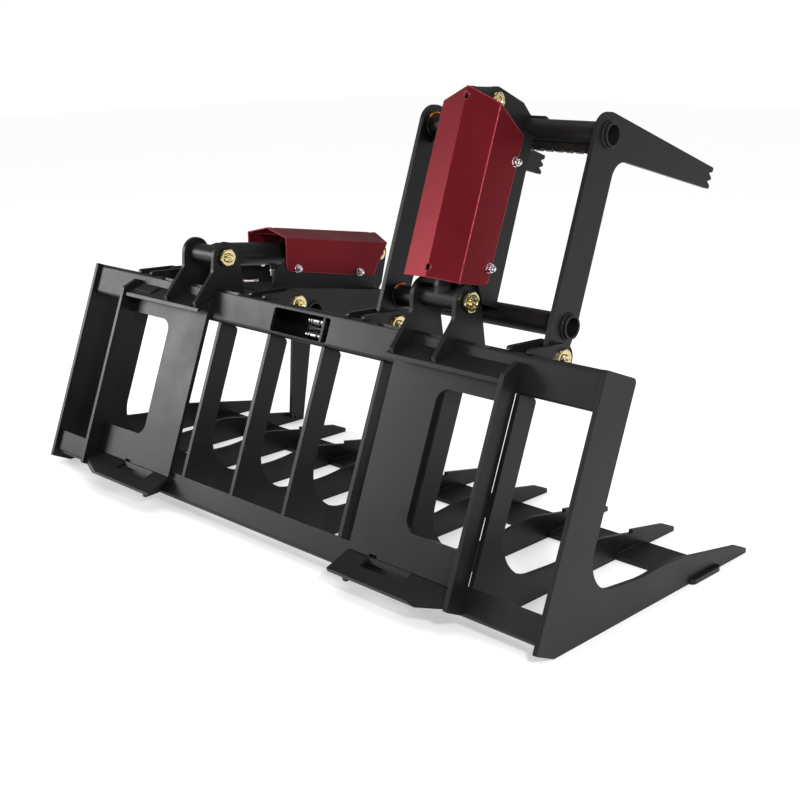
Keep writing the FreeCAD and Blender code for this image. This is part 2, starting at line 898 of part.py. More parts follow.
def build_cylinder_ears(side):
    """The two ears that hold a cylinder's base, from the lip over the beam."""
    body = new_body(f"cylinder_ears_{side}", back())
    corners = [
        corner(-D.base_ear_spike_depth, D.base_ear_spike_height, D.edge_break),
        corner(-D.base_ear_foot_depth, lip_line(D.base_ear_foot_depth)),
        corner(0, D.lip_high),
        corner(0, D.back_height - D.seat_drop),
        corner(D.seat_depth, D.back_height - D.seat_drop),
        corner(D.seat_depth, D.back_height),
        corner(D.base_ear_front, D.back_height, D.edge_break),
        hub(D.base_pin_depth, D.base_pin_height, D.base_ear_head),
        corner(-D.base_ear_waist_depth, D.base_ear_waist_height, 2 * D.corner_radius),
    ]
    hole = (D.base_pin_depth, D.base_pin_height, PIN_HOLE)
    for half in (-1, 1):
        place = SIDES[side] * D.clamp_center + half * D.base_ear_offset
        add_plate(body, corners, D.plate, place, [hole])


def add_pin(body, first, last, y, z):
    """A headed pin along X from its nut's face to its head's, and both of these."""
    add_round(body, first, last, PIN_RADIUS, y, z)
    add_round(body, last, last + D.pin_head, D.pin_head_diameter / 2, y, z)
    button = last + D.pin_head
    add_round(body, button, button + D.pin_button, D.pin_button_diameter / 2, y, z)
    add_hexagon(body, first - D.pin_head, first, D.pin_head_diameter, y, z)


def build_hinge_pins():
    """Four pivot pins and two base pins, all with their heads to +X."""
    body = new_body("hinge_pins", back())
    for side, sign in SIDES.items():
        places = ear_places(side)
        for low, high in (places[:2], places[2:]):
            first, last = low - D.plate / 2, high + D.plate / 2
            add_pin(body, first, last, D.pivot_depth, D.pivot_height)
        middle = sign * D.clamp_center
        reach = D.base_ear_offset + D.plate / 2
        head = middle + reach + D.pin_washer
        add_pin(body, middle - reach, head, D.base_pin_depth, D.base_pin_height)


def build_pin_spacers():
    """Rings on the pins: tubes beside each arm, and a washer under each base pin's head."""
    body = new_body("pin_spacers", back())
    outer = PIN_RADIUS + D.thin_plate
    for side, sign in SIDES.items():
        face = sign * D.clamp_center + D.base_ear_offset + D.plate / 2
        rim, y, z = D.pin_washer_diameter / 2, D.base_pin_depth, D.base_pin_height
        add_round(body, face, face + D.pin_washer, rim, y, z, PIN_HOLE)
        places = ear_places(side)
        arms = sorted(arm_places(side), key=lambda item: item.value)
        ears = sorted(places, key=lambda item: item.value)
        for arm, low, high in zip(arms, ears[::2], ears[1::2]):
            gaps = (
                (low + D.plate / 2, arm - D.plate / 2 - D.side_play),
                (arm + D.plate / 2 + D.side_play, high - D.plate / 2),
            )
            for start, end in gaps:
                add_round(body, start, end, outer, D.pivot_depth, D.pivot_height, PIN_HOLE)


def arm_places(side):
    """Middles of the two arms of a clamp, the outer one first."""
    middle = SIDES[side] * D.clamp_center
    outward = SIDES[side] * D.arm_offset
    return [middle + outward, middle - outward]


def add_coupling_bracket(body):
    """An upright plate welded inside the beam that the hose couplings pass through."""
    skin = D.thin_plate
    low, high = D.leg_height + skin, D.back_height - skin
    corners = box_corners(skin, D.top_flange, low, high)
    holes = [(D.coupling_depth, z, D.coupling_diameter / 2) for z in coupling_heights()]
    add_plate(body, corners, skin, D.coupling_bracket_at, holes)


def coupling_heights():
    return D.coupling_low, D.coupling_high


def build_couplings():
    """The two bright hose couplings behind the beam window."""
    body = new_body("hydraulic_fittings", back(D.coupling_bracket_at))
    face, long = D.thin_plate / 2, D.coupling_collar_length
    radius = D.coupling_diameter / 2
    bore = radius / 2
    for z in coupling_heights():
        add_round(body, -D.coupling_length, D.coupling_length / 2, radius, D.coupling_depth, z, bore)
        rim = radius + D.coupling_collar
        for start, end in ((-face - long, -face), (face, face + long / 2)):
            add_round(body, start, end, rim, D.coupling_depth, z, bore)


def tooth_corners():
    """The three teeth at the end of an arm, from the lower one up."""
    points = []
    for step in range(2):
        middle = D.tooth_base + step * D.tooth_pitch
        points.append(corner(D.arm_end, middle - D.tooth_half))
        points.append(corner(D.arm_end - D.tooth_depth, middle))
        points.append(corner(D.arm_end, middle + D.tooth_half))
    return points


def build_arms(side):
    """The two cranked arms of a clamp, drawn upright about the pivot."""
    corners = [
        hub(0, 0, D.hub_radius),
        corner(D.arm_front_low, D.arm_front_rise, 2 * D.hub_radius),
        corner(D.arm_front_high, D.arm_throat_rise, D.arm_throat_radius),
        corner(D.arm_end, D.arm_jaw_low, D.edge_break),
    ]
    corners += tooth_corners()
    corners += [
        corner(D.arm_end, D.arm_jaw_high, D.edge_break),
        corner(0, D.arm_top),
        corner(-D.arm_rear_high, D.arm_top, D.arm_top_radius),
        corner(-D.arm_rear_low, D.arm_rear_rise, 2 * D.hub_radius),
    ]
    holes = [(Size.of(0), Size.of(0), PIN_HOLE)]
    holes += [(y, z, TUBE_RADIUS) for y, z in tube_centers()]
    for name, place in zip(("outer", "inner"), arm_places(side)):
        frame = clamp(side)
        body = new_body(f"arm_{name}_{side}", frame._replace(x=place))
        add_plate(body, corners, D.plate, 0, holes)


def tube_centers():
    """Upper and lower tube, in the clamp frame."""
    upper = (-D.upper_tube_depth, D.upper_tube_rise)
    lower = (D.lower_tube_depth, D.lower_tube_rise)
    return upper, lower


def build_tubes(side):
    """The two tubes that join the arms and pass through them."""
    half = D.arm_offset + D.plate / 2 + D.tube_lap
    for name, (y, z) in zip(("upper", "lower"), tube_centers()):
        body = new_body(f"{name}_tube_{side}", clamp(side))
        add_round(body, -half, half, TUBE_RADIUS, y, z, D.tube_bore / 2)


def build_grip_bar(side):
    """The serrated strip under the upper tube."""
    body = new_body(f"grip_bar_{side}", clamp(side))
    half = D.arm_offset - D.plate / 2
    top = D.upper_tube_rise - TUBE_RADIUS + D.cut_margin
    low = top - D.grip_height
    center = -D.upper_tube_depth
    bar = new_sketch(body, "YZ_Plane", -half)
    draw(bar, box_corners(center - D.plate / 2, center + D.plate / 2, low, top))
    pad(body, bar, 2 * half)
    notch = new_sketch(body, "XZ_Plane")
    start = -half + D.grip_pitch / 2
    points = [
        corner(start - D.grip_tooth, low - D.cut_margin),
        corner(start + D.grip_tooth, low - D.cut_margin),
        corner(start, low + D.grip_tooth),
    ]
    draw(notch, points)
    cut = cut_through(body, notch)
    count = int((2 * half.value) // D.grip_pitch.value)
    pattern = body.newObject("PartDesign::LinearPattern", f"{body.Label}_row")
    pattern.Originals = [cut]
    pattern.Direction = (notch, ["H_Axis"])
    bind(pattern, "Length", D.grip_pitch * (count - 1))
    pattern.Occurrences = count
    body.Tip = pattern
    cut_round(body, -D.upper_tube_depth, D.upper_tube_rise, TUBE_RADIUS)


def build_straps(side):
    """The two side plates inside the guard, with a toe round each tube."""
    body = new_body(f"straps_{side}", clamp(side))
    upper, lower = tube_centers()
    corners = [
        corner(-D.strap_rear, D.strap_heel_rise, D.corner_radius),
        corner(-D.strap_heel_depth, D.strap_low, D.edge_radius),
        corner(lower[0], D.strap_low),
        corner(lower[0], D.strap_low + D.strap_toe_low),
        corner(-D.strap_front_low, D.strap_low + D.strap_toe_low),
        corner(-D.strap_front_high, D.strap_high - D.strap_toe_high),
        corner(upper[0], D.strap_high - D.strap_toe_high),
        corner(upper[0], D.strap_high),
        corner(-D.strap_rear, D.strap_high, 2 * D.guard_corner),
    ]
    reach = D.strap_outer - D.thin_plate / 2
    bolts = [(-D.bolt_depth, z, D.bolt_diameter / 2 + D.bolt_play) for z in bolt_heights()]
    for half in (-1, 1):
        add_plate(body, corners, D.thin_plate, half * reach, bolts)
    for y, z in (upper, lower):
        cut_round(body, y, z, TUBE_RADIUS)


def bolt_heights():
    return D.bolt_low, D.bolt_high


def build_rod_ears(side):
    """The pair of ears on the upper tube that take the rod's pin."""
    body = new_body(f"rod_ears_{side}", clamp(side))
    upper = tube_centers()[0]
    corners = [
        hub(-D.rod_pin_depth, D.rod_pin_rise, D.rod_ear_head),
        corner(upper[0] - TUBE_RADIUS, upper[1] - TUBE_RADIUS + D.rod_ear_lap),
        corner(upper[0] - D.cut_margin, upper[1]),
        corner(upper[0] - D.cut_margin, upper[1] + TUBE_RADIUS + D.rod_ear_lap),
        corner(-D.rod_ear_shoulder_depth, D.rod_ear_shoulder_rise, D.corner_radius),
    ]
    hole = (-D.rod_pin_depth, D.rod_pin_rise, PIN_HOLE)
    for half in (-1, 1):
        add_plate(body, corners, D.plate, half * D.rod_ear_offset, [hole])
    cut_round(body, upper[0], upper[1], TUBE_RADIUS)


def build_gusset(side):
    """The curved strip over the upper tube in front of the rod ears."""
    upper = tube_centers()[0]
    turn = LEAN + CLOSED[side]
    y, z = turned(upper[0], upper[1], CLOSED[side])
    x = SIDES[side] * D.clamp_center
    frame = at_back_point(x, D.pivot_depth + y, D.pivot_height + z, turn)
    body = new_body(f"rod_ear_gusset_{side}", frame)
    sketch = new_sketch(body, "XZ_Plane")
    half = D.gusset_half_width
    inner = TUBE_RADIUS
    draw(sketch, box_corners(-half, half, inner, inner + D.thin_plate))
    feature = body.newObject("PartDesign::Revolution", f"{body.Label}_turned")
    feature.Profile = sketch
    feature.ReferenceAxis = (sketch, ["H_Axis"])
    bind(feature, "Angle", D.gusset_sweep)
    feature.Reversed = True


def guard_section(fold, ridge):
    """Section of the guard: two walls and a ridged back of one sheet."""
    half = D.strap_outer + D.guard_sheet
    inner = D.strap_outer
    slope = (ridge - fold) / half
    lift = D.guard_sheet / cosine(heading(half, ridge - fold))
    front = -D.guard_front
    inner_fold = -(fold + D.guard_sheet * slope) + lift
    return [
        corner(-half, front),
        corner(-half, -fold),
        corner(0, -ridge),
        corner(half, -fold),
        corner(half, front),
        corner(inner, front),
        corner(inner, inner_fold),
        corner(0, -ridge + lift),
        corner(-inner, inner_fold),
        corner(-inner, front),
    ]


def build_guard(side):
    """The folded sheet guard over the cylinder, bolted to the straps."""
    body = new_body(f"guard_{side}", clamp(side))
    low = new_sketch(body, "XY_Plane", D.guard_low)
    draw(low, guard_section(D.guard_fold_low_depth, D.guard_ridge_low_depth))
    high = new_sketch(body, "XY_Plane", D.guard_ridge_top)
    draw(high, guard_section(D.guard_fold_high_depth, D.guard_ridge_high_depth))
    loft = body.newObject("PartDesign::AdditiveLoft", f"{body.Label}_sheet")
    loft.Profile = low
    loft.Sections = [(high, [""])]
    loft.Ruled = True

    margin = D.guard_margin
    half = D.strap_outer + D.guard_sheet
    drop = (D.guard_ridge_top - D.guard_fold_top) / half
    wide = half + margin
    roof = [
        corner(0, D.guard_ridge_top),
        corner(wide, D.guard_ridge_top - drop * wide),
        corner(wide, D.guard_ridge_top + margin),
        corner(-wide, D.guard_ridge_top + margin),
        corner(-wide, D.guard_ridge_top - drop * wide),
    ]
    cut_outline(body, "XZ_Plane", roof)

    fall = (D.guard_fold_top - D.guard_wall_top) / (D.guard_fold_high_depth - D.guard_front)
    front = -(D.guard_front - margin)
    shoulder = [
        corner(-D.guard_fold_high_depth, D.guard_fold_top),
        corner(front, D.guard_wall_top - margin * fall),
        corner(front, D.guard_ridge_top + margin),
        corner(-D.guard_fold_high_depth, D.guard_ridge_top + margin),
    ]
    cut_outline(body, "YZ_Plane", shoulder)

    hem = [
        corner(-D.guard_fold_low_depth, D.guard_low - margin),
        corner(front, D.guard_low - margin),
        corner(front, D.guard_wall_low + 2 * margin),
        corner(-D.guard_front, D.guard_wall_low + 2 * margin),
        corner(-D.guard_front, D.guard_wall_low, D.guard_corner),
        corner(-D.guard_fold_low_depth, D.guard_low),
    ]
    cut_outline(body, "YZ_Plane", hem)

    ridge_holes = new_sketch(body, "XZ_Plane")
    for z in (D.guard_low + D.guard_hole_edge, D.guard_ridge_top - D.guard_hole_edge):
        draw_circle(ridge_holes, 0, z, D.guard_hole_diameter / 2)
    cut_through(body, ridge_holes)
    for z in bolt_heights():
        cut_round(body, -D.bolt_depth, z, D.bolt_diameter / 2 + D.bolt_play)


def build_guard_bolts(side):
    """Four bolts from inside the straps, with hex nuts outside the guard."""
    body = new_body(f"guard_bolts_{side}", clamp(side))
    outer = D.strap_outer + D.guard_sheet
    inner = D.strap_outer - D.thin_plate
    head, tip, nut = inner - D.bolt_head, outer + D.bolt_end, outer + D.nut_length
    shank, rim, y = D.bolt_diameter / 2, D.bolt_head_diameter / 2, -D.bolt_depth
    for z in bolt_heights():
        add_round(body, head, inner, rim, y, z)
        add_round(body, inner, tip, shank, y, z)
        add_hexagon(body, outer, nut, D.nut_flats, y, z)
        add_round(body, -inner, -head, rim, y, z)
        add_round(body, -tip, -inner, shank, y, z)
        add_hexagon(body, -nut, -outer, D.nut_flats, y, z)


def build_rod_pin(side):
    """The pin through the rod ears."""
    body = new_body(f"rod_pin_{side}", clamp(side))
    reach = D.rod_ear_offset + D.plate / 2
    head, far = D.rod_pin_head_diameter / 2, reach + D.rod_pin_head
    spans = ((-far, -reach, head), (-reach, reach, PIN_RADIUS), (reach, far, head))
    for start, end, radius in spans:
        add_round(body, start, end, radius, -D.rod_pin_depth, D.rod_pin_rise)


def rod_vector(side):
    """From the base pin to the rod pin, in the back frame."""
    y, z = turned(-D.rod_pin_depth, D.rod_pin_rise, CLOSED[side])
    return y + D.pivot_depth - D.base_pin_depth, z + D.pivot_height - D.base_pin_height


def cylinder_turn(side):
    """Forward turn that lays a body's Z axis along the cylinder."""
    return LEAN + 90 - heading(*rod_vector(side))


def build_barrel(side):
    """The cylinder's barrel with its cross tube, gland and two ports."""
    x = SIDES[side] * D.clamp_center
    frame = at_back_point(x, D.base_pin_depth, D.base_pin_height, cylinder_turn(side))
    body = new_body(f"barrel_{side}", frame)
    outer, bore = D.barrel_diameter / 2, D.barrel_bore / 2
    gland, neck = D.gland_diameter / 2, D.rod_diameter / 2 + D.pin_play
    wall = D.thin_plate
    corners = [
        corner(0, 0),
        corner(D.barrel_boss_diameter / 2 - D.cut_margin, 0),
        corner(outer, D.barrel_start, D.edge_radius),
        corner(outer, D.gland_start),
        corner(gland, D.gland_start),
        corner(gland, D.gland_end, D.edge_break),
        corner(neck, D.gland_end),
        corner(neck, D.gland_start + wall),
        corner(bore, D.gland_start + wall),
        corner(bore, D.barrel_floor),
        corner(0, D.barrel_floor),
    ]
    revolve(body, corners)
    half = D.base_ear_offset - D.plate / 2 - D.side_play
    add_round(body, -half, half, D.barrel_boss_diameter / 2)
    for z in (D.port_low, D.port_high):
        port = new_sketch(body, "XZ_Plane", -D.port_reach)
        draw_circle(port, 0, z, D.port_diameter / 2)
        pad(body, port, D.port_reach - bore - D.cut_margin)
    cut_round(body, 0, 0, PIN_HOLE)


def build_port_fittings(side):
    """The hose adapters in the barrel's two ports, open at the end."""
    x = SIDES[side] * D.clamp_center
    frame = at_back_point(x, D.base_pin_depth, D.base_pin_height, cylinder_turn(side))
    body = new_body(f"port_fittings_{side}", frame)
    radius = D.adapter_diameter / 2
    for z in (D.port_low, D.port_high):
        tip = D.port_reach + D.adapter_length
        collar = new_sketch(body, "XZ_Plane", -(D.port_reach + D.thin_plate))
        draw_circle(collar, 0, z, D.adapter_collar_diameter / 2)
        draw_circle(collar, 0, z, radius / 2)
        pad(body, collar, D.thin_plate)
        neck = new_sketch(body, "XZ_Plane", -tip)
        draw_circle(neck, 0, z, radius)
        draw_circle(neck, 0, z, radius / 2)
        pad(body, neck, D.adapter_length)


def build_rod(side):
    """The piston and rod, which slide in the barrel and stop short of the eye."""
    x = SIDES[side] * D.clamp_center
    frame = at_back_point(x, D.base_pin_depth, D.base_pin_height, cylinder_turn(side))
    body = new_body(f"rod_{side}", frame)
    radius, piston = D.rod_diameter / 2, D.barrel_bore / 2 - 2 * D.pin_play
    long = distance(*rod_vector(side))
    short = distance(*rod_vector("right"))
    start = D.rod_start + long - short
    end = long - D.eye_stub - D.open_gap
    corners = [
        corner(0, start),
        corner(piston, start),
        corner(piston, start + D.piston_length),
        corner(radius, start + D.piston_length),
        corner(radius, end),
        corner(0, end),
    ]
    revolve(body, corners)


def build_rod_eye(side):
    """The eye on the rod pin, with the stub that the rod screws into."""
    along = rod_vector(side)
    x = SIDES[side] * D.clamp_center
    y, z = D.base_pin_depth + along[0], D.base_pin_height + along[1]
    frame = at_back_point(x, y, z, cylinder_turn(side))
    body = new_body(f"rod_eye_{side}", frame)
    stub, neck = D.eye_stub_diameter / 2, PIN_RADIUS + D.edge_break
    corners = [
        corner(0, -D.eye_stub),
        corner(stub - D.edge_break, -D.eye_stub),
        corner(stub, D.edge_break - D.eye_stub),
        corner(stub, -neck),
        corner(0, -neck),
    ]
    revolve(body, corners)
    add_round(body, -D.eye_half_width, D.eye_half_width, D.eye_radius)
    cut_round(body, 0, 0, PIN_HOLE)


def check(items):
    """Stops when a feature failed, a cut removed nothing or a shape is unsound."""
    for item in doc.Objects:
        if "Invalid" in item.State or "Error" in item.State:
            raise RuntimeError(f"{item.Label}: {item.State}")
        if item.TypeId == "PartDesign::Pocket":
            before = item.BaseFeature.Shape.Volume
            if item.Shape.Volume > before - SMALLEST_CUT:
                raise RuntimeError(f"{item.Label} cuts nothing")
    for item in items:
        if item.Shape.isNull() or not item.Shape.isValid():
            raise RuntimeError(f"{item.Label}: unsound shape")


def export(items):
    os.makedirs("parts", exist_ok=True)
    for item in items:
        item.Shape.exportStep(f"parts/{item.Label}.step")


build_tines()
build_end_plates()
build_cross_plate()
build_top_beam()
build_bottom_beam()
build_lip_ribs()
build_lip_pad()
build_hinge_pins()
build_pin_spacers()
build_couplings()
for side in SIDES:
    build_mount(side)
    build_pivot_ears(side)
    build_cylinder_ears(side)
    build_arms(side)
    build_tubes(side)
    build_grip_bar(side)
    build_straps(side)
    build_rod_ears(side)
    build_gusset(side)
    build_guard(side)
    build_guard_bolts(side)
    build_rod_pin(side)
    build_barrel(side)
    build_port_fittings(side)
    build_rod(side)
    build_rod_eye(side)
doc.recompute()
check(parts)
export(parts)
print(len(parts), "sub-parts")
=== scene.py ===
import json
import math

import bmesh
import bpy
from mathutils import Matrix, Vector


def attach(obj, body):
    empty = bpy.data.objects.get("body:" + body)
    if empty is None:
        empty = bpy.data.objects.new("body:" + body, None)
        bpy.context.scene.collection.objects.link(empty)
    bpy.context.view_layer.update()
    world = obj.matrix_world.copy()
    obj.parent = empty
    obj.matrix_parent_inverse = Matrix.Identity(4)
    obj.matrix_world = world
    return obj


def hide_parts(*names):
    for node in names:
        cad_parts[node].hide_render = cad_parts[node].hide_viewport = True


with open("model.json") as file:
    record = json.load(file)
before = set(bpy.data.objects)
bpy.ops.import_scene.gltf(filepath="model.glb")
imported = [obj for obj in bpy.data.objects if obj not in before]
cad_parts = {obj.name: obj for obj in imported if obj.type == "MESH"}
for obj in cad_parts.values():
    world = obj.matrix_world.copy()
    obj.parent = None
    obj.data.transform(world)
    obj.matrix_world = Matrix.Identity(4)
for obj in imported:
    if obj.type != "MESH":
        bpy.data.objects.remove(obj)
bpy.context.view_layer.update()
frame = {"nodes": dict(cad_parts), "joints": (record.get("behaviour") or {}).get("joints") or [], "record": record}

# Camera, fitted to the straight edges of the photograph.
CAMERA_PLACE = Vector((1.92154, -1.84268, 1.00610))
CAMERA_YAW = math.radians(44.8455)
CAMERA_PITCH = math.radians(16.2057)
CAMERA_ROLL = math.radians(-0.6107)
CAMERA_LENS = 56.64

# Frames of the CAD model: lengths in millimetres, angles in radians. A depth runs forward
# from the rear face of the leaning back and a height runs up it. The pair (a, b) is the
# same inside a clamp, measured from its pivot.
MM = 0.001
AXIS_X = (1, 0, 0)
LEAN = math.radians(20.585)
BACK_Y = -364.05
SIDES = {"left": -1, "right": 1}
CLAMP_CENTER = 359.35
CLAMP_TURN = {"left": math.radians(79.5), "right": 0.0}
PIVOT = (95.0, 512.0)
BASE_PIN = (12.0, 576.0)

# Places of the dressed details.
PIN_HEADS = [(x, *PIVOT) for x in (-538.85, -125.05, 179.85, 593.65)]
PIN_HEADS += [(x, *BASE_PIN) for x in (-296.1, 422.6)]
ROD_PIN = (-111.0, 430.0)
BOLT_A = -63.0
BOLT_HEIGHTS = (133.0, 333.0)
COUPLING_DEPTH = 30.0
COUPLING_HEIGHTS = (452.5, 482.0)
ARM_OFFSETS = (-212.9, 212.9)
TUBE_PLACES = ((-2.0, 409.5), (17.0, 60.5))
STEM_FRONT = 60
# Depths of the black sheet of painted shade behind the window.
SHADE_SHEET_DEPTHS = (54.0, 59.6)
TINES = 8
TINE_PITCH = 168.28
TIP_REAR, TIP_FRONT, TIP_TOP = 0.098, 0.190, 0.0105

# Weld beads: half widths, distances from the middle of a plate or tube, and steps.
BEAD_STEP = 1.5
BEAD_SCALE = 3.0
BEAD_SIDES = 8
TIP_BEAD, TIP_BEAD_OFFSET = 2.0, 5.6
RING_BEAD, RING_OFFSET, RING_RADIUS = 2.6, 5.9, 23.4
ARC_BEAD, ARC_OFFSET, ARC_RADIUS = 2.7, 6.6, 24.0
ARC_END, ARC_STEPS, ARC_STEP = 1.2, 25, 1.35
ARC_FIRST, ARC_TURN = 62, 3.2

# Outlines of the turned details, as (radius, place along the axis) in millimetres.
PIN_RIM = (
    (17.2, 0.2), (20.0, 0.2), (20.3, 0.8), (20.3, 3.6),
    (19.8, 4.6), (18.9, 5.2), (17.4, 5.6), (14.0, 5.2),
)
PIN_BOSS = (
    (10.6, 5.0), (10.4, 6.0), (9.8, 7.0), (9.8, 10.6), (9.3, 11.3),
    (8.4, 11.6), (7.4, 11.3), (6.6, 10.3), (5.2, 10.1),
)
PIN_NIPPLE = (
    (2.6, 10.0), (2.6, 10.9), (1.5, 11.3), (1.5, 12.0),
    (1.9, 12.4), (1.7, 13.1), (0.9, 13.4),
)
ROD_RIM = (
    (12.0, 34.2), (17.2, 34.2), (17.4, 34.8), (17.4, 38.0),
    (16.9, 39.2), (15.8, 39.8), (12.0, 39.6),
)
ROD_BOSS = ((10.0, 39.4), (9.8, 41.2), (9.2, 42.0), (8.0, 42.2), (7.0, 41.4), (5.6, 39.9))
WASHER = ((5.0, 70.0), (9.5, 70.0), (9.7, 70.4), (9.5, 71.2), (5.0, 71.2))
NUT = ((6.4, 71.2), (8.2, 71.2), (8.9, 71.9), (8.9, 76.9), (8.0, 77.8), (6.2, 78.0))
STUD = ((6.1, 60.0), (6.1, 80.6), (5.6, 82.4), (4.2, 83.6), (2.0, 84.0))
BOLT_HEAD = ((4.0, 54.9), (8.2, 55.1), (9.8, 56.4), (10.0, 58.0), (10.0, 60.6), (6.0, 60.6))
COUPLING = (
    (6.0, 0.0), (8.6, 0.0), (9.6, 0.8), (9.6, 5.0), (7.6, 5.8), (7.6, 9.0), (11.2, 9.6),
    (12.0, 10.6), (12.0, 13.4), (11.2, 14.4), (10.0, 14.8), (10.0, 18.0), (12.2, 18.8),
    (13.0, 19.8), (13.0, 36.0), (12.2, 37.0), (10.4, 37.4), (10.4, 40.0), (12.6, 40.8),
    (12.6, 57.0), (11.6, 58.0), (13.0, 60.0), (13.0, 69.0), (12.0, 70.0), (12.0, 91.6),
    (11.2, 93.0), (6.0, 93.0),
)
STEM_NECK = (
    (2.0, 79.0), (4.2, 79.0), (4.2, 88.0), (6.0, 88.6),
    (6.4, 89.4), (6.4, 94.6), (5.8, 95.4), (4.4, 96.0),
)
STEM_SLEEVE = (
    (3.0, 94.0), (4.9, 95.0), (5.2, 96.2), (5.2, 99.0), (4.8, 99.6),
    (4.8, 136.0), (5.2, 136.8), (5.2, 139.0), (4.4, 140.2), (2.0, 140.4),
)
PIN_FLATS, ROD_PIN_FLATS, NUT_FLATS, NECK_FLATS = 37.4, 32.6, 15.8, 12.0

# Outline of a black sheet of painted shade behind the window's left part, in (X, height) of the back.
SHADE_SHEET_OUTLINE = (
    (-109.0, 439.6), (-172.0, 439.6), (-176.0, 443.6),
    (-176.0, 494.4), (-172.0, 498.4), (-109.0, 498.4),
)

# Lamps: name, place, the point it looks at, width, height and power.
LAMPS = (
    ("rear_left_box", (-2.95, -2.1, 1.15), (-0.5, -0.1, 0.4), 1.3, 1.3, 72),
    ("top_box", (0.2, -0.2, 3.2), (0, 0, 0.3), 2.4, 2.4, 22),
    ("front_box", (1.2, 3.0, 1.8), (0, 0, 0.4), 1.8, 1.8, 7),
    ("fold_box", (2.05, -1.20, 1.45), (0.43, -0.2, 0.75), 0.22, 0.22, 30),
)


def nodes_of(material):
    """The node tree of a material, emptied, with its output node."""
    material.use_nodes = True
    tree = material.node_tree
    tree.nodes.clear()
    output = tree.nodes.new("ShaderNodeOutputMaterial")
    return tree, output


def noise(tree, coordinates, scale, detail=4.0, roughness=0.5):
    item = tree.nodes.new("ShaderNodeTexNoise")
    item.inputs["Scale"].default_value = scale
    item.inputs["Detail"].default_value = detail
    item.inputs["Roughness"].default_value = roughness
    tree.links.new(coordinates, item.inputs["Vector"])
    return item.outputs["Fac"]


def spread(tree, value, low, high, out_low, out_high):
    """Maps a value from one range to another and clamps it."""
    item = tree.nodes.new("ShaderNodeMapRange")
    item.inputs["From Min"].default_value = low
    item.inputs["From Max"].default_value = high
    item.inputs["To Min"].default_value = out_low
    item.inputs["To Max"].default_value = out_high
    tree.links.new(value, item.inputs["Value"])
    return item.outputs["Result"]


def maths(tree, operation, first, second):
    item = tree.nodes.new("ShaderNodeMath")
    item.operation = operation
    for socket, value in zip(item.inputs, (first, second)):
        if isinstance(value, (int, float)):
            socket.default_value = value
        else:
            tree.links.new(value, socket)
    return item.outputs["Value"]


def mixed(tree, factor, first, second):
    """A colour between two, by a factor; each colour is a tuple or a socket."""
    item = tree.nodes.new("ShaderNodeMix")
    item.data_type = "RGBA"
    tree.links.new(factor, item.inputs["Factor"])
    for name, value in (("A", first), ("B", second)):
        socket = [s for s in item.inputs if s.name == name and s.type == "RGBA"][0]
        if isinstance(value, tuple):
            socket.default_value = (*value, 1.0)
        else:
            tree.links.new(value, socket)
    return [s for s in item.outputs if s.type == "RGBA"][0]


def place_coordinates(tree):
    return tree.nodes.new("ShaderNodeTexCoord").outputs["Object"]


def edge_normal(tree, radius):
    """The normal with every edge rounded by the radius."""
    bevel = tree.nodes.new("ShaderNodeBevel")
    bevel.samples = 6
    bevel.inputs["Radius"].default_value = radius
    return bevel.outputs["Normal"]


def edge_mask(tree, normal):
    """One on edges and zero on flat faces, from a rounded normal."""
    geometry = tree.nodes.new("ShaderNodeNewGeometry")
    dot = tree.nodes.new("ShaderNodeVectorMath")
    dot.operation = "DOT_PRODUCT"
    tree.links.new(normal, dot.inputs[0])
    tree.links.new(geometry.outputs["True Normal"], dot.inputs[1])
    return spread(tree, dot.outputs["Value"], 0.99, 0.78, 0.0, 1.0)


def bump(tree, height, strength, distance, normal):
    item = tree.nodes.new("ShaderNodeBump")
    item.inputs["Strength"].default_value = strength
    item.inputs["Distance"].default_value = distance
    tree.links.new(height, item.inputs["Height"])
    tree.links.new(normal, item.inputs["Normal"])
    return item.outputs["Normal"]


def new_shader(name):
    """A material with a Principled shader, its tree and its place coordinates."""
    material = bpy.data.materials.new(name)
    tree, output = nodes_of(material)
    shader = tree.nodes.new("ShaderNodeBsdfPrincipled")
    tree.links.new(shader.outputs["BSDF"], output.inputs["Surface"])
    return material, tree, shader, place_coordinates(tree)


def painted(name, color, dark, scuff_and_highlight_colour, gloss, specular, metallic=0.0, rounding=0.0012):
    """Powder coat: fine orange peel, cloudy gloss, dust, and edges lighter: scuffed wear with a painted highlight
    along them.
    """
    material, tree, shader, here = new_shader(name)
    cloud = noise(tree, here, 9.0, 5.0, 0.6)
    grain = noise(tree, here, 1400.0, 2.0)
    peel = noise(tree, here, 420.0, 3.0)
    scuff_noise = noise(tree, here, 160.0, 6.0, 0.7)
    round_normal = edge_normal(tree, rounding)
    edges = edge_mask(tree, round_normal)
    # Edges come out lighter: scuffed paint, and a painted highlight where the edges catch the light.
    scuff_and_highlight_mask = maths(tree, "MULTIPLY", edges, spread(tree, scuff_noise, 0.35, 0.65, 0.15, 0.8))
    base = mixed(tree, spread(tree, cloud, 0.35, 0.65, 0.0, 1.0), dark, color)
    tree.links.new(mixed(tree, scuff_and_highlight_mask, base, scuff_and_highlight_colour), shader.inputs["Base Color"])
    rough = spread(tree, cloud, 0.3, 0.7, gloss - 0.05, gloss + 0.06)
    speckle = spread(tree, grain, 0.3, 0.7, -0.03, 0.03)
    tree.links.new(maths(tree, "ADD", rough, speckle), shader.inputs["Roughness"])
    shader.inputs["Specular IOR Level"].default_value = specular
    shader.inputs["Metallic"].default_value = metallic
    texture = maths(tree, "ADD", peel, maths(tree, "MULTIPLY", grain, 0.4))
    normal = bump(tree, texture, 0.16, 0.0004, round_normal)
    tree.links.new(normal, shader.inputs["Normal"])
    return material


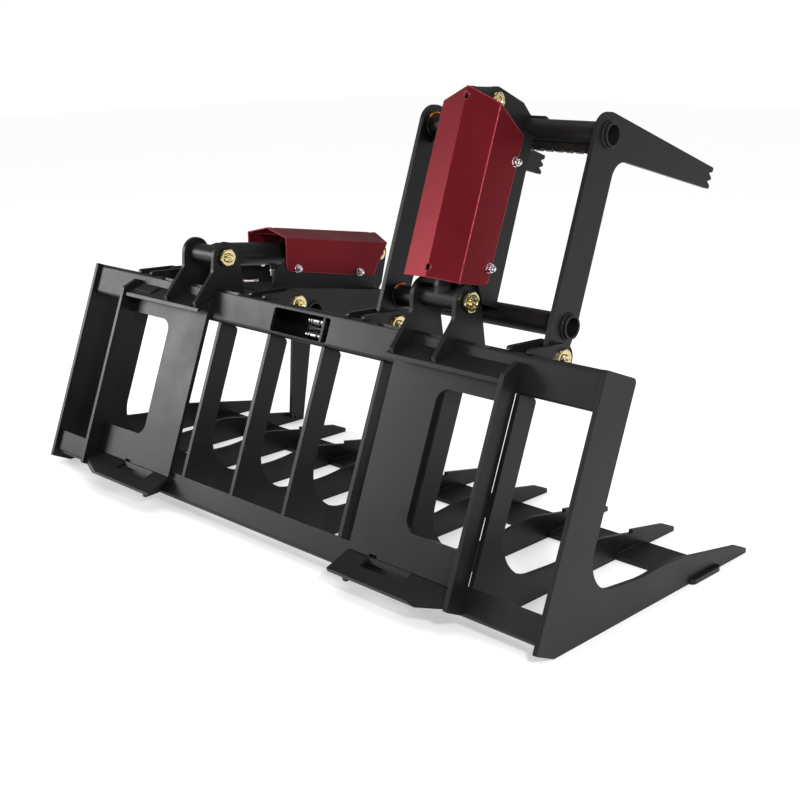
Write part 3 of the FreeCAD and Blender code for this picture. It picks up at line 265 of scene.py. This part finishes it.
def metal(name, color, tint, roughness, brushed):
    """Bare or plated metal with fine turning marks and uneven colour."""
    material, tree, shader, here = new_shader(name)
    cloud = noise(tree, here, 45.0, 4.0, 0.6)
    marks = noise(tree, here, 900.0, 2.0)
    round_normal = edge_normal(tree, 0.0007)
    base = mixed(tree, spread(tree, cloud, 0.35, 0.65, 0.0, 1.0), color, tint)
    tree.links.new(base, shader.inputs["Base Color"])
    shader.inputs["Metallic"].default_value = 1.0
    rough = spread(tree, cloud, 0.3, 0.7, roughness * 0.8, roughness * 1.3)
    tree.links.new(rough, shader.inputs["Roughness"])
    tree.links.new(bump(tree, marks, brushed, 0.0002, round_normal), shader.inputs["Normal"])
    return material


BLACK = painted(
    "black_powder_coat",
    color=(0.0125, 0.0125, 0.0128),
    dark=(0.009, 0.009, 0.0092),
    # Black edges a little lighter: wear, and a painted highlight on the lit plate edges.
    scuff_and_highlight_colour=(0.05, 0.05, 0.052),
    gloss=0.40,
    specular=0.25,
)
RED = painted(
    "dark_red_paint",
    color=(0.195, 0.013, 0.020),
    dark=(0.175, 0.011, 0.017),
    # A bright pink edge colour: a painted highlight along the guard's folds, as well as wear.
    scuff_and_highlight_colour=(0.80, 0.16, 0.20),
    gloss=0.40,
    specular=0.10,
    metallic=0.5,
    rounding=0.0045,
)
ZINC = metal("yellow_zinc", (0.76, 0.62, 0.27), (0.68, 0.60, 0.36), 0.13, 0.06)
STEEL = metal("bare_steel", (0.62, 0.62, 0.62), (0.50, 0.50, 0.51), 0.28, 0.12)
CHROME = metal("bright_chrome", (0.82, 0.82, 0.83), (0.76, 0.76, 0.78), 0.08, 0.02)
# A darkened copy of the chrome: painted shade for the couplings that sit in the dark window.
SHADED_CHROME = metal("chrome_with_painted_shade", (0.13, 0.13, 0.13), (0.10, 0.10, 0.10), 0.16, 0.05)
# Orange metal for the weld arcs: a painted highlight on the lit tops of two black weld rings.
ORANGE_WELD_LIGHT = metal("orange_weld_highlight", (0.80, 0.26, 0.05), (0.42, 0.16, 0.08), 0.30, 0.3)
BY_SLOT = {
    "black_steel": BLACK,
    "red_paint": RED,
    "zinc_steel": ZINC,
    "bare_steel": STEEL,
    "chrome": CHROME,
}


def dress_nodes():
    """Gives every CAD node the material of its slot."""
    for part in frame["record"]["subparts"]:
        node = frame["nodes"][part["node"]]
        for slot in node.material_slots:
            slot.material = BY_SLOT[part["material_slot"]]


def back_place(x, depth, height):
    """A point given in the frame of the leaning back, in millimetres."""
    y = depth * math.cos(LEAN) + height * math.sin(LEAN) + BACK_Y
    z = height * math.cos(LEAN) - depth * math.sin(LEAN)
    return Vector((x, y, z)) * MM


def clamp_place(side, x, a, b):
    """A point given in the frame of a clamp, whose origin is the pivot."""
    turn = CLAMP_TURN[side]
    depth = PIVOT[0] + a * math.cos(turn) + b * math.sin(turn)
    height = PIVOT[1] + b * math.cos(turn) - a * math.sin(turn)
    return back_place(SIDES[side] * CLAMP_CENTER + x, depth, height)


def finish_piece(name, shell, body, slot, material=None):
    """Makes a piece of the gathered faces, smooth except at its sharp edges."""
    bmesh.ops.recalc_face_normals(shell, faces=shell.faces)
    mesh = bpy.data.meshes.new(name)
    shell.to_mesh(mesh)
    shell.free()
    mesh.shade_smooth()
    mesh.set_sharp_from_angle(angle=math.radians(38))
    mesh.materials.append(material or BY_SLOT[slot])
    piece = bpy.data.objects.new(name, mesh)
    bpy.context.scene.collection.objects.link(piece)
    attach(piece, body)
    return piece


def skin_rows(shell, rows, closed=False):
    """Joins closed rows of corners by faces, and caps the ends or joins them as a ring."""
    pairs = list(zip(rows, rows[1:]))
    if closed:
        pairs.append((rows[-1], rows[0]))
    count = len(rows[0])
    for low, high in pairs:
        for step in range(count):
            after = (step + 1) % count
            shell.faces.new((low[step], low[after], high[after], high[step]))
    if not closed:
        shell.faces.new(rows[0])
        shell.faces.new(rows[-1])


def lathe(shell, place, axis, profile, flats=None, ring=False, steps=72):
    """Turns (radius, along) pairs in millimetres about an axis; flats cut a hexagon."""
    turn = Vector(axis).to_track_quat("Z", "Y").to_matrix()
    rows = []
    for radius, along in profile:
        row = []
        for step in range(steps):
            angle = math.tau * step / steps
            reach = radius
            if flats is not None:
                from_flat = angle % (math.pi / 3) - math.pi / 6
                reach = min(radius, flats / 2 / math.cos(from_flat))
            point = Vector((reach * math.cos(angle), reach * math.sin(angle), along)) * MM
            row.append(shell.verts.new(place + turn @ point))
        rows.append(row)
    skin_rows(shell, rows, ring)


def tube(shell, points, radii, closed=False, sides=BEAD_SIDES):
    """Sweeps a circle along points; each point has its own radius in millimetres."""
    count = len(points)
    rows = []
    side = None
    for index, point in enumerate(points):
        before = points[index - 1] if closed or index else point
        after = points[(index + 1) % count] if closed or index + 1 < count else point
        along = (after - before).normalized()
        if side is None:
            side = along.orthogonal()
        side = (side - along * side.dot(along)).normalized()
        other = along.cross(side)
        row = []
        for step in range(sides):
            angle = math.tau * step / sides
            offset = side * math.cos(angle) + other * math.sin(angle)
            row.append(shell.verts.new(point + offset * radii[index] * MM))
        rows.append(row)
    skin_rows(shell, rows, closed)


def ripple(length, radius):
    """The radius of a weld bead at a length along it, with its scales."""
    phase = (length / BEAD_SCALE) % 1.0
    return radius * (1.0 + 0.16 * (1.0 - phase) ** 2)


def weld_line(shell, start, end, radius):
    """A rippled bead from one point to another."""
    long = (end - start).length / MM
    steps = max(4, round(long / BEAD_STEP))
    points = [start.lerp(end, step / steps) for step in range(steps + 1)]
    radii = [ripple(long * step / steps, radius) for step in range(steps + 1)]
    radii[0] = radii[-1] = radius * 0.55
    tube(shell, points, radii)


def weld_ring(shell, middle, radius, bead):
    """A rippled bead round a tube that runs along X."""
    steps = round(math.tau * radius / BEAD_STEP)
    points = []
    radii = []
    for step in range(steps):
        angle = math.tau * step / steps
        offset = Vector((0, math.cos(angle), math.sin(angle))) * radius * MM
        points.append(middle + offset)
        radii.append(ripple(radius * angle, bead))
    tube(shell, points, radii, closed=True)


def make_pin_heads():
    """Hexagonal rims round the pins' heads, each with a raised ring and a grease nipple."""
    shell = bmesh.new()
    for x, depth, height in PIN_HEADS:
        place = back_place(x, depth, height)
        lathe(shell, place, AXIS_X, PIN_RIM, flats=PIN_FLATS)
        lathe(shell, place, AXIS_X, PIN_BOSS)
        lathe(shell, place, AXIS_X, PIN_NIPPLE, steps=24)
    finish_piece("pin_heads", shell, "frame", "zinc_steel")


def make_rod_pin_head(side):
    """A hexagonal rim and a raised ring on the head of the rod's pin."""
    shell = bmesh.new()
    place = clamp_place(side, 0, *ROD_PIN)
    lathe(shell, place, AXIS_X, ROD_RIM, flats=ROD_PIN_FLATS)
    lathe(shell, place, AXIS_X, ROD_BOSS)
    finish_piece(f"rod_pin_head_{side}", shell, f"clamp_{side}", "zinc_steel")


def make_guard_bolts(side):
    """The guard's bolts, each with a washer, a chamfered hex nut and a domed stud end."""
    shell = bmesh.new()
    for b in BOLT_HEIGHTS:
        place = clamp_place(side, 0, BOLT_A, b)
        for way in (1, -1):
            axis = (way, 0, 0)
            lathe(shell, place, axis, WASHER)
            lathe(shell, place, axis, NUT, flats=NUT_FLATS)
            lathe(shell, place, axis, STUD, steps=36)
            lathe(shell, place, axis, BOLT_HEAD)
    piece = finish_piece(f"guard_bolt_sets_{side}", shell, f"clamp_{side}", "chrome")
    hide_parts(f"guard_bolts_{side}")


def make_couplings():
    """The two hose couplings, turned with collars and grooves and open right through."""
    shell = bmesh.new()
    for height in COUPLING_HEIGHTS:
        lathe(shell, back_place(0, COUPLING_DEPTH, height), AXIS_X, COUPLING, ring=True)
    # The couplings take the darkened chrome, painted shade for the dark window behind them.
    piece = finish_piece("hose_couplings", shell, "frame", "chrome", SHADED_CHROME)
    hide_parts("hydraulic_fittings")


def make_shade_sheet():
    """A black sheet behind the window's left part, put there as painted shade to keep that part of the window
    dark.
    """
    shell = bmesh.new()
    rows = []
    for depth in SHADE_SHEET_DEPTHS:
        rows.append([shell.verts.new(back_place(x, depth, height)) for x, height in SHADE_SHEET_OUTLINE])
    skin_rows(shell, rows)
    finish_piece("window_shade_sheet", shell, "frame", "black_steel")


def make_tube_welds(side):
    """Weld beads where a clamp's two tubes pass through its arms."""
    shell = bmesh.new()
    for arm in ARM_OFFSETS:
        for face in (-RING_OFFSET, RING_OFFSET):
            for a, b in TUBE_PLACES:
                weld_ring(shell, clamp_place(side, arm + face, a, b), RING_RADIUS, RING_BEAD)
    finish_piece(f"tube_welds_{side}", shell, f"clamp_{side}", "black_steel")


def make_orange_weld_highlights():
    """Two orange arcs of weld over the right clamp's tubes, beside its inner arm: a painted highlight over the lit
    tops of the black weld rings there.
    """
    shell = bmesh.new()
    for a, b in TUBE_PLACES:
        middle = clamp_place("right", ARM_OFFSETS[0] + ARC_OFFSET, a, b)
        points = []
        for step in range(ARC_STEPS):
            angle = math.radians(ARC_FIRST + ARC_TURN * step)
            offset = Vector((0, math.cos(angle), math.sin(angle))) * ARC_RADIUS * MM
            points.append(middle + offset)
        radii = [ripple(ARC_STEP * step, ARC_BEAD) for step in range(ARC_STEPS)]
        radii[0] = radii[-1] = ARC_END
        tube(shell, points, radii)
    finish_piece("orange_weld_highlights", shell, "clamp_right", "bare_steel", ORANGE_WELD_LIGHT)


def make_side_stem():
    """The bright stem that stands off the left low adapter and runs beside the barrel."""
    shell = bmesh.new()
    slides = [joint for joint in frame["joints"] if joint["name"] == "rod_left_slide"]
    along = Vector(slides[0]["axis"]).normalized()
    front = Vector((0, along.z, -along.y))
    middle = back_place(-CLAMP_CENTER, *BASE_PIN) + front * STEM_FRONT * MM
    lathe(shell, middle, along, STEM_NECK, flats=NECK_FLATS)
    lathe(shell, middle, along, STEM_SLEEVE, steps=40)
    finish_piece("adapter_side_stem", shell, "cylinder_left", "chrome")


def make_tip_welds():
    """Weld beads on both sides of every inner tine along the front cross plate."""
    shell = bmesh.new()
    for index in range(TINES):
        for face in (-TIP_BEAD_OFFSET, TIP_BEAD_OFFSET):
            x = (TINE_PITCH * (index - (TINES - 1) / 2) + face) * MM
            start, end = Vector((x, TIP_REAR, TIP_TOP)), Vector((x, TIP_FRONT, TIP_TOP))
            weld_line(shell, start, end, TIP_BEAD)
    finish_piece("tip_welds", shell, "frame", "black_steel")


def make_camera():
    data = bpy.data.cameras.new("camera")
    data.sensor_width = 36
    data.lens = CAMERA_LENS
    data.clip_start, data.clip_end = 0.05, 60
    camera = bpy.data.objects.new("camera", data)
    bpy.context.scene.collection.objects.link(camera)
    flat = math.cos(CAMERA_PITCH)
    sideways, ahead = -math.sin(CAMERA_YAW) * flat, math.cos(CAMERA_YAW) * flat
    forward = Vector((sideways, ahead, -math.sin(CAMERA_PITCH)))
    level = Vector((math.cos(CAMERA_YAW), math.sin(CAMERA_YAW), 0))
    upright = level.cross(forward)
    right = level * math.cos(CAMERA_ROLL) + upright * math.sin(CAMERA_ROLL)
    up = right.cross(forward)
    turn = Matrix((right, up, -forward)).transposed()
    camera.matrix_world = Matrix.Translation(CAMERA_PLACE) @ turn.to_4x4()
    bpy.context.scene.camera = camera


def seen_white(tree):
    """One for camera, glossy and transmission rays, zero for light that bounces."""
    path = tree.nodes.new("ShaderNodeLightPath")
    seen = maths(tree, "MAXIMUM", path.outputs["Is Camera Ray"], path.outputs["Is Glossy Ray"])
    return maths(tree, "MAXIMUM", seen, path.outputs["Is Transmission Ray"])


def make_floor():
    """A wide white floor that shows as white, with a painted contact shadow: its glow dims by ambient occlusion
    near the object, while its diffuse part takes the lamps' shadows.
    """
    size = 14.0
    mesh = bpy.data.meshes.new("floor")
    corners = [(-size, -size, 0), (size, -size, 0), (size, size, 0), (-size, size, 0)]
    mesh.from_pydata(corners, [], [(0, 1, 2, 3)])
    floor = bpy.data.objects.new("floor", mesh)
    bpy.context.scene.collection.objects.link(floor)
    floor.location.z = -0.0005
    material = bpy.data.materials.new("floor_white")
    tree, output = nodes_of(material)
    diffuse = tree.nodes.new("ShaderNodeBsdfDiffuse")
    diffuse.inputs["Color"].default_value = (0.62, 0.62, 0.62, 1)
    glow = tree.nodes.new("ShaderNodeEmission")
    near = tree.nodes.new("ShaderNodeAmbientOcclusion")
    near.samples = 8
    near.inputs["Distance"].default_value = 0.35
    # Painted contact shadow: the glow falls from 0.80 to 0.45 where the object is near.
    shade = spread(tree, near.outputs["AO"], 0.35, 0.97, 0.45, 0.80)
    tree.links.new(maths(tree, "MULTIPLY", seen_white(tree), shade), glow.inputs["Strength"])
    both = tree.nodes.new("ShaderNodeAddShader")
    tree.links.new(diffuse.outputs["BSDF"], both.inputs[0])
    tree.links.new(glow.outputs["Emission"], both.inputs[1])
    tree.links.new(both.outputs["Shader"], output.inputs["Surface"])
    mesh.materials.append(material)


def make_world():
    """Soft grey light all round, white where it is seen."""
    world = bpy.data.worlds.new("studio")
    bpy.context.scene.world = world
    world.use_nodes = True
    tree = world.node_tree
    tree.nodes.clear()
    output = tree.nodes.new("ShaderNodeOutputWorld")
    background = tree.nodes.new("ShaderNodeBackground")
    background.inputs["Color"].default_value = (1, 1, 1, 1)
    path = tree.nodes.new("ShaderNodeLightPath")
    level = spread(tree, path.outputs["Is Camera Ray"], 0.0, 1.0, 0.28, 1.0)
    tree.links.new(level, background.inputs["Strength"])
    tree.links.new(background.outputs["Background"], output.inputs["Surface"])


def add_softbox(name, place, target, width, height, power):
    data = bpy.data.lights.new(name, "AREA")
    data.shape = "RECTANGLE"
    data.size, data.size_y = width, height
    data.energy = power
    lamp = bpy.data.objects.new(name, data)
    lamp.location = Vector(place)
    lamp.rotation_euler = (Vector(target) - Vector(place)).to_track_quat("-Z", "Y").to_euler()
    bpy.context.scene.collection.objects.link(lamp)


def make_lights():
    for lamp in LAMPS:
        add_softbox(*lamp)


dress_nodes()
make_pin_heads()
make_couplings()
make_shade_sheet()
make_tip_welds()
make_orange_weld_highlights()
make_side_stem()
for side in SIDES:
    make_rod_pin_head(side)
    make_guard_bolts(side)
    make_tube_welds(side)
make_camera()
make_floor()
make_world()
make_lights()
bpy.context.scene.view_settings.view_transform = "Standard"
